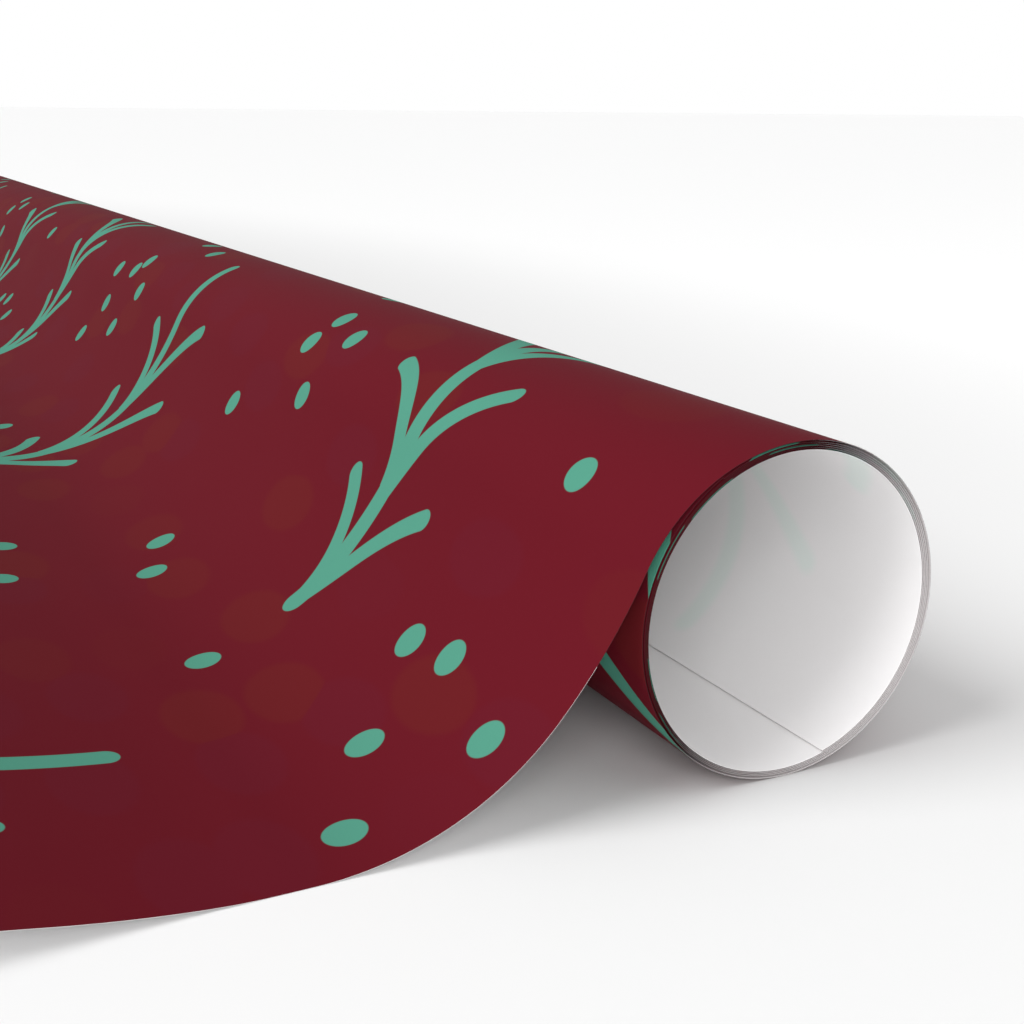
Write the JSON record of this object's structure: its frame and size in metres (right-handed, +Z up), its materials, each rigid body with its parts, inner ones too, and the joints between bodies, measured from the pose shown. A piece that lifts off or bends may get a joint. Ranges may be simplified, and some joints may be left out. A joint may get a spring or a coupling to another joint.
{
  "type": "wrapping paper roll",
  "caption": "Coreless roll of printed gift wrap lying on its side, its outer end pulled forward over the top and curling on the table.",
  "frame": {"origin": "middle of the footprint, on the surface that the roll lies on", "axes": "+X along the roll, +Y from the loose end towards the roll, +Z up"},
  "size_m": [0.762, 0.1411, 0.0466],
  "materials": {
    "printed_paper": "uncoated printed face, plain white back"
  },
  "bodies": {
    "pulled_sheet": {"outer_turn": "printed_paper", "sloping_sheet": "printed_paper"},
    "free_end": {"free_end": "printed_paper"},
    "second_turn": {"second_turn": "printed_paper"},
    "third_turn": {"third_turn": "printed_paper"},
    "fourth_turn": {"fourth_turn": "printed_paper"},
    "fifth_turn": {"fifth_turn": "printed_paper"},
    "inner_turn": {"inner_turn": "printed_paper"}
  },
  "joints": [
    {"name": "free_end_lift", "type": "hinge", "parent": "pulled_sheet", "child": "free_end", "pos_m": [0, -0.02403, 0.00008], "axis": [-1, 0, 0], "range_deg": [0, 60]},
    {"name": "roll_turn", "type": "hinge", "parent": "pulled_sheet", "child": "second_turn", "pos_m": [0, 0.04724, 0.0233], "axis": [1, 0, 0], "continuous": true},
    {"name": "third_turn_slide", "type": "slide", "parent": "second_turn", "child": "third_turn", "axis": [1, 0, 0], "range_m": [-0.012, 0.012]},
    {"name": "fourth_turn_slide", "type": "slide", "parent": "third_turn", "child": "fourth_turn", "axis": [1, 0, 0], "range_m": [-0.012, 0.012]},
    {"name": "fifth_turn_slide", "type": "slide", "parent": "fourth_turn", "child": "fifth_turn", "axis": [1, 0, 0], "range_m": [-0.012, 0.012]},
    {"name": "inner_turn_slide", "type": "slide", "parent": "fifth_turn", "child": "inner_turn", "axis": [1, 0, 0], "range_m": [-0.012, 0.012]}
  ],
  "couplings": [
    {"joint": "fourth_turn_slide", "follows": "third_turn_slide", "ratio": 1},
    {"joint": "fifth_turn_slide", "follows": "third_turn_slide", "ratio": 1},
    {"joint": "inner_turn_slide", "follows": "third_turn_slide", "ratio": 1}
  ]
}
